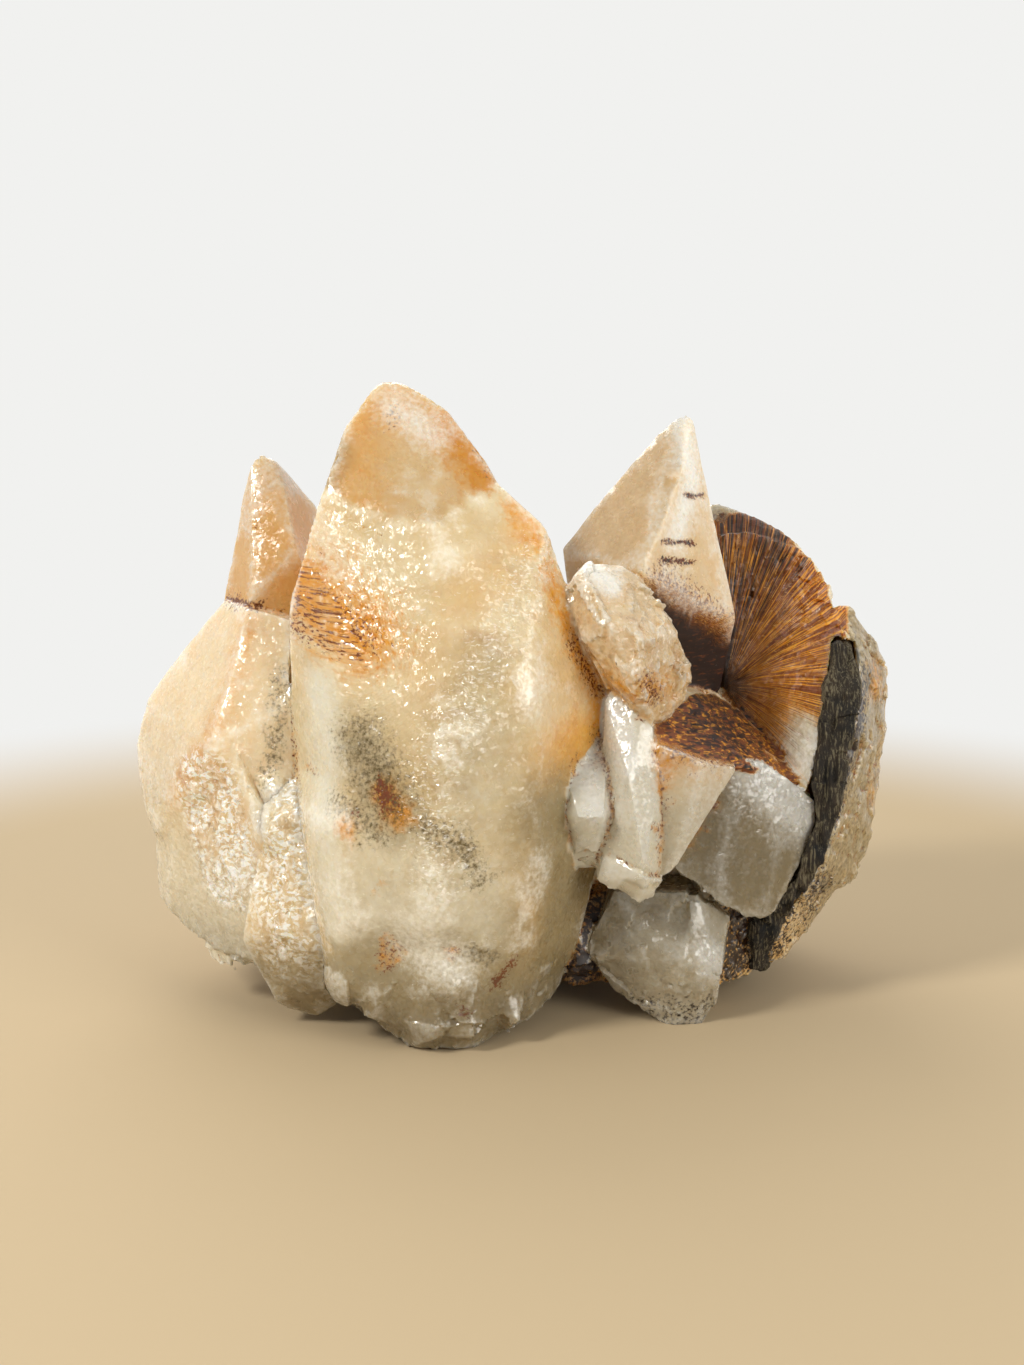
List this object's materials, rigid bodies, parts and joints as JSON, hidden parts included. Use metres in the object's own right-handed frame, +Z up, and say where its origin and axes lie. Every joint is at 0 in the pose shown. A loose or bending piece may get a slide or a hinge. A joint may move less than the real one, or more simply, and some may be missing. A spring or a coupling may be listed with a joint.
{
  "type": "dogtooth calcite cluster",
  "caption": "Hand-sized cluster of intergrown dogtooth calcite crystals, honey and milky white, iron stained on one side, with a seam of dark host rock; stands on its own broken base.",
  "frame": {"origin": "middle of the cluster's box, on the surface it rests on", "axes": "+Z up, -Y the showy side with the broad blade, +X to its right along the longest extent"},
  "size_m": [0.131, 0.0798, 0.1055],
  "materials": {
    "calcite": "translucent, etched and glittering crystal faces",
    "host_rock": "rough, fibrous, dark grey-green"
  },
  "bodies": {
    "root": {"calcite_cluster": "calcite", "host_rock_seam": "host_rock"}
  },
  "joints": []
}
